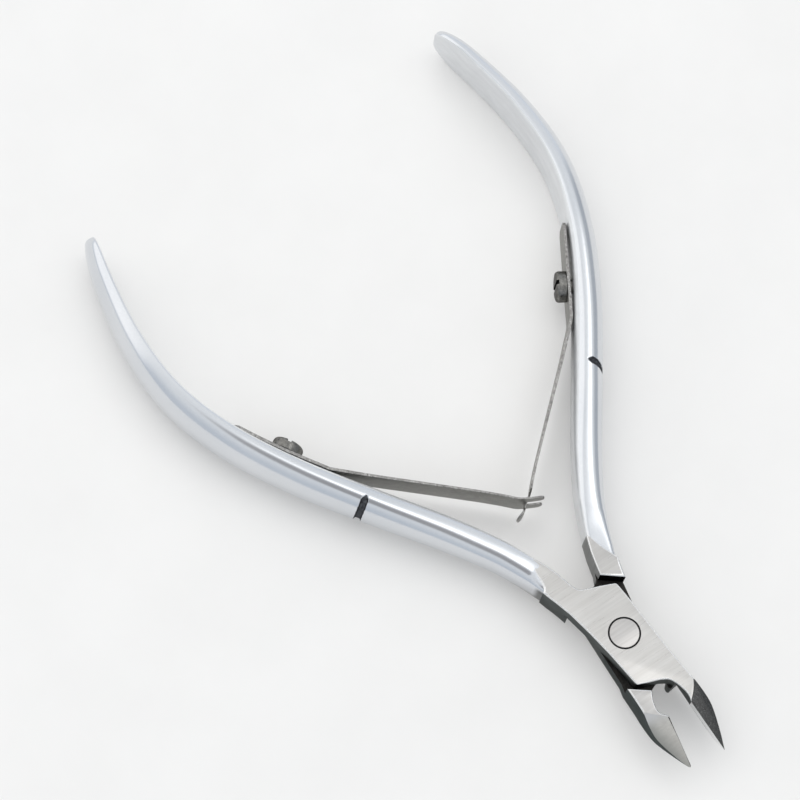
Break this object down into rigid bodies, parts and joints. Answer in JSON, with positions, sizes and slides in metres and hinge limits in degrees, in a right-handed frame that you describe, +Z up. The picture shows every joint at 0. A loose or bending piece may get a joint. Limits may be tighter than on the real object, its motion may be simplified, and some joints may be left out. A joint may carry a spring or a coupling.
{
  "type": "cuticle nipper",
  "caption": "Lap-joint cuticle nipper with curved handles, short pointed cutting jaws and two crossed leaf springs that hold it open.",
  "frame": {"origin": "where the axis of the pivot rivet meets the flat underside of the lap joint", "axes": "+X from the pivot to the jaw tips along the middle of the open tool, +Y towards the handle of half B, +Z up along the rivet to its flush head"},
  "size_m": [0.1021, 0.066, 0.0081],
  "materials": {
    "satin_steel": "bead blasted satin stainless steel, brushed at the joint, ground at the jaws",
    "rivet_steel": "ground flush with the joint",
    "spring_steel": "dull tumbled spring steel",
    "screw_steel": "dull turned steel"
  },
  "bodies": {
    "half_b": {"half_b": "satin_steel", "pivot_rivet": "rivet_steel", "tongue_spring_clamped_end": "spring_steel", "spring_screw_b": "screw_steel"},
    "half_a": {"half_a": "satin_steel", "fork_spring_clamped_end": "spring_steel", "spring_screw_a": "screw_steel"},
    "fork_leaf": {"fork_spring_leaf": "spring_steel"},
    "tongue_leaf": {"tongue_spring_leaf": "spring_steel"}
  },
  "joints": [
    {"name": "pivot", "type": "hinge", "parent": "half_b", "child": "half_a", "pos_m": [0, 0, 0.00245], "axis": [0, 0, 1], "range_deg": [-14.2, 0], "stiffness_Nm_per_rad": 1.2},
    {"name": "fork_leaf_flex", "type": "hinge", "parent": "half_a", "child": "fork_leaf", "pos_m": [-0.0392, -0.01942, 0.00245], "axis": [0, 0, 1], "range_deg": [-8, 0.2]},
    {"name": "tongue_leaf_flex", "type": "hinge", "parent": "half_b", "child": "tongue_leaf", "pos_m": [-0.0392, 0.01942, 0.00245], "axis": [0, 0, 1], "range_deg": [-0.2, 8]}
  ],
  "couplings": [
    {"joint": "fork_leaf_flex", "follows": "pivot", "ratio": 0.52},
    {"joint": "tongue_leaf_flex", "follows": "pivot", "ratio": -0.52}
  ]
}
